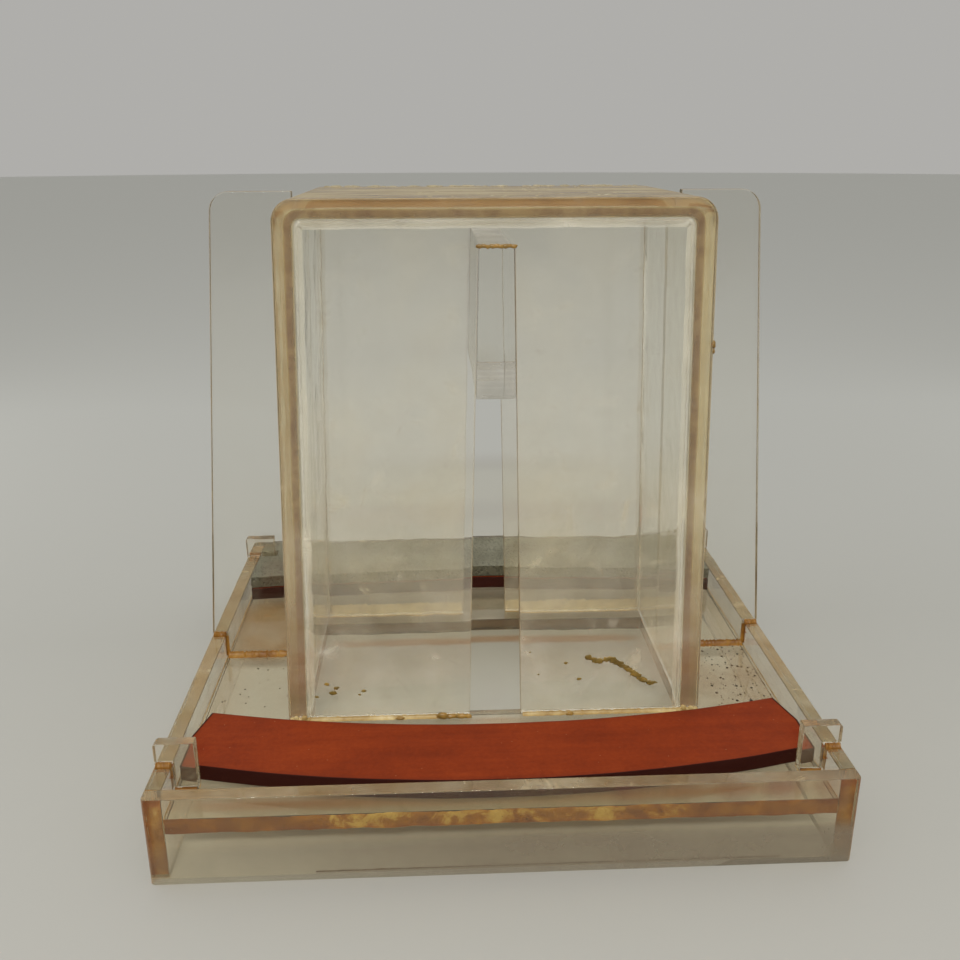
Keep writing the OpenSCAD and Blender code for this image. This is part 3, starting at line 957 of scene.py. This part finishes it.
PANEL_BEAD_X = (PANEL_FOOT_X + 0.2, OUTER["foot"] - 0.6)
WING_BEAD_X = (OUTER["foot"] + 0.6, WALL_INNER_X - 0.4)
TAB_BEAD_X = (TAB_INNER_X + 0.3, WALL_INNER_X - 0.4)
WALL_BEAD_X = (WALL_INNER_X - 0.3, WALL_INNER_X + 3.5)
WING_BEAD_LOW, WING_BEAD_HIGH = 0.4, 7.1
DIRT_LEFT, DIRT_RIGHT, DIRT_Z = -46, 68, 0.35
fillet("core_front_meniscus", inside_line(FRONT_PANEL_INSIDE), inward, BACK, HIGHLIGHT_GLUE,
       reach=2.3, cells=400, lumps=0.12, seed=3.0)
fillet("core_rear_meniscus", inside_line(REAR_PANEL_INSIDE), inward, FORWARD, CLEAR_GLUE,
       reach=1.2, cells=400, lumps=0.12, seed=5.0)
for side, sign in SIDES:
    fillet(f"rear_panel_{side}_bead", along_x(sign, PANEL_BEAD_X, CORE_REAR, FLOOR_TOP), BACK, UP,
           PALE_GLUE, reach=3.6, cells=160, lumps=0.2, seed=sign + 11.0)
    fillet(f"front_panel_{side}_bead", along_x(sign, PANEL_BEAD_X, CORE_FRONT, FLOOR_TOP), FORWARD, UP,
           CREAM_GLUE, reach=0.9, cells=160, lumps=0.4, seed=sign + 17.0)
    fillet(f"{side}_wing_foot_bead", along_x(sign, WING_BEAD_X, WING_FRONT, FLOOR_TOP), FORWARD, UP, AMBER,
           reach=1.5, cells=90, lumps=0.4, seed=sign + 23.0)
    for end, way, outwards in (("front", -1, FORWARD), ("rear", 1, BACK)):
        face = way * TAB_FAR_Y
        fillet(f"{end}_{side}_tab_foot_bead", along_x(sign, TAB_BEAD_X, face, FLOOR_TOP), outwards, UP,
               AMBER, reach=1.1, cells=30, lumps=0.3, seed=sign + way * 3 + 41.0)
        fillet(f"{end}_{side}_tab_top_bead", along_x(sign, WALL_BEAD_X, face, WALL_TOP), outwards, UP,
               AMBER, reach=1.2, cells=24, lumps=0.25, seed=sign + way * 3 + 47.0, hollow=False)
    fillet(f"{side}_wing_top_bead", along_x(sign, WALL_BEAD_X, WING_FRONT, WALL_TOP), FORWARD, UP, AMBER,
           reach=1.2, cells=24, lumps=0.25, seed=sign + 31.0, hollow=False)
    foot = Vector((sign * WALL_INNER_X, WING_FRONT, FLOOR_TOP))
    upright = straight(foot + UP * WING_BEAD_LOW, foot + UP * WING_BEAD_HIGH)
    fillet(f"{side}_wing_side_bead", upright, FORWARD, Vector((-sign, 0, 0)), AMBER,
           reach=0.8, cells=40, lumps=0.4, seed=sign + 29.0)
wall_foot = straight((DIRT_LEFT, -WALL_INNER_Y, DIRT_Z), (DIRT_RIGHT, -WALL_INNER_Y, DIRT_Z))
fillet("wall_foot_dirt", wall_foot, BACK, UP, BROWN_DIRT,
       reach=0.3, cells=220, lumps=0.6, seed=53.0, hollow=False)


# Dirt

def lump(place, size, seed, rough=0.35, fine=2):
    """A small flattened lump; place and size in millimetres."""
    only(None)
    bpy.ops.mesh.primitive_ico_sphere_add(subdivisions=fine, radius=1, location=(0, 0, 0))
    piece = bpy.context.object
    for vertex in piece.data.vertices:
        c = vertex.co
        broad = ripple(c.x * 1.4 + seed, c.y * 1.4, c.z * 1.4)
        narrow = ripple(c.x * 4, c.y * 4 + seed, c.z * 4)
        swell = 1 + rough * broad + 0.4 * rough * narrow
        vertex.co = Vector((p + c[k] * swell * d for k, (p, d) in enumerate(zip(place, size)))) * MM
    return piece


def gathered(name, lumps, material):
    """Lumps joined as one piece."""
    only(lumps[0])
    for piece in lumps:
        piece.select_set(True)
    bpy.ops.object.join()
    piece = bpy.context.object
    piece.name = piece.data.name = name
    bpy.ops.object.shade_smooth()
    outward(piece)
    dress(piece, material)


def scatter(count, seed):
    """Sets of three shares from 0 to 1, the same on each run: two for the place, one for the size."""
    return [tuple((math.sin((k + 1) * w + seed * 7.7) * 43758.5453) % 1 for w in (12.9898, 78.233, 37.719))
            for k in range(count)]


# Drops at the front panel's foot by X, height over the floor and size, in millimetres
FOOT_DROPS = (
    (-14.6, 0.7, (1.7, 0.8, 1.1)), (-12.4, 0.5, (1.5, 0.6, 0.7)), (-9.3, 0.5, (1.6, 0.7, 0.7)),
    (-7.5, 0.4, (1.0, 0.6, 0.6)), (-26.4, 0.3, (1.2, 0.5, 0.5)), (20.7, 0.3, (1.0, 0.5, 0.5)))
# A smear by X and Z on the front panel, and spots with their width too
SMEAR = (
    (25.6, 34.2), (27.7, 32.9), (29.7, 33.2), (31.9, 33.8), (32.6, 32.7), (34.2, 31.9),
    (36.2, 30.6), (37.7, 29.3), (39.6, 27.7), (41.5, 26.3), (43.1, 25.7), (44.3, 26.1))
SMEAR_RUN = [Vector(a).lerp(Vector(b), t) for a, b in zip(SMEAR, SMEAR[1:]) for t in (0, 0.35, 0.7)]
SPOTS = (
    (-46.0, 27.9, 0.9), (-43.6, 26.6, 0.9), (-44.5, 25.2, 1.3), (-49.0, 24.0, 0.7), (-36.1, 25.5, 0.8),
    (-37.3, 24.4, 0.5), (23.1, 27.5, 0.8), (19.3, 32.6, 0.7), (9.4, 36.2, 0.4), (11.8, 29.3, 0.4))
ON_PANEL, ON_FLOOR = CORE_FRONT - 0.02, FLOOR_TOP + 0.05
EDGE_DROPS = (
    ((53.9, CORE_FRONT + 0.85, 120.1), (0.55, 0.7, 1.0), 3.3),
    ((54.0, CORE_FRONT + 1.05, 118.4), (0.4, 0.5, 0.7), 4.4))
GRIT_HEIGHT = 0.16
RIGHT_GRIT_X, RIGHT_GRIT_Y = (58.6, 80.0), (-42, 1)
LEFT_GRIT_X, LEFT_GRIT_Y = (-80, -58), (-38, 1)
REAR_CRUST_X = (-46, 46)
TOP_CRUST_X, TOP_CRUST_Y = (-20, 40), (-32, 26)


def between(ends, share):
    """The place at a share of the way from one end to the other."""
    return ends[0] + (ends[1] - ends[0]) * share


def smear_size(k):
    """Flat drops that vary along the smear."""
    return (1.05 + 0.35 * math.sin(k * 2.3), 0.12, 0.55 + 0.25 * math.cos(k * 1.7))


def leg_drop(sign, k):
    """One of a row of drops at a leg's foot, from the outside inwards."""
    rise = FLOOR_TOP + 0.6 + 0.35 * math.sin(k * 2.7)
    return lump((sign * (OUTER["foot"] - 1 - 1.1 * k), CORE_FRONT - 0.2, rise),
                (0.8, 0.5, 0.6 + 0.25 * (k % 2)), k + sign)


def cap_drop(k):
    """One of a row of drops over the block, from the left."""
    rise = SLOT_HEAD + 0.1 + 0.1 * math.sin(k * 2.1)
    return lump((-4.1 + 1.02 * k, CORE_FRONT, rise), (0.85, 0.28, 0.5), k * 1.3)


def speck(x, y, width, seed):
    """A grain on the floor."""
    return lump((x, y, ON_FLOOR), (width, width, GRIT_HEIGHT), seed, fine=1)


gathered("foot_glue", [
    lump((x, CORE_FRONT - 0.7, FLOOR_TOP + z), size, k)
    for k, (x, z, size) in enumerate(FOOT_DROPS)], AMBER_GLUE)
gathered("panel_smear", [
    lump((x, ON_PANEL, z), smear_size(k), k * 1.9, 0.5)
    for k, (x, z) in enumerate(SMEAR_RUN)], YELLOW_GLUE)
gathered("panel_spots", [
    lump((x, ON_PANEL, z), (r * 0.8, 0.1, r * 0.5), x, 0.55)
    for x, z, r in SPOTS], YELLOW_GLUE)
gathered("block_cap_glue", [cap_drop(k) for k in range(9)], AMBER_GLUE)
gathered("leg_foot_glue", [leg_drop(sign, k) for sign in (-1, 1) for k in range(5)], CREAM_GLUE)
gathered("edge_drop", [lump(*drop) for drop in EDGE_DROPS], AMBER_GLUE)
gathered("floor_grit", [
    speck(between(RIGHT_GRIT_X, a), between(RIGHT_GRIT_Y, b), 0.13 + 0.36 * c ** 4, a * 9)
    for a, b, c in scatter(170, 1)
] + [
    speck(between(LEFT_GRIT_X, a), between(LEFT_GRIT_Y, b), 0.12 + 0.22 * c ** 3, b * 9)
    for a, b, c in scatter(24, 2)
], dark_grit("dark_grit"))
gathered("top_crust", [
    lump((between(REAR_CRUST_X, a), CORE_REAR - 0.3 - 1.9 * b ** 2, CORE_TOP),
         (0.5 + 1.3 * c ** 2, 0.4 + 0.3 * b, 0.12 + 0.32 * c ** 2), a * 9)
    for a, b, c in scatter(80, 4)
] + [
    lump((between(TOP_CRUST_X, a), between(TOP_CRUST_Y, b), CORE_TOP),
         (0.3 + 0.5 * c, 0.3 + 0.3 * a, 0.1), b * 9)
    for a, b, c in scatter(40, 5)
], PALE_GLUE)

# Bounds of the shown pieces, without the table

low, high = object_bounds()
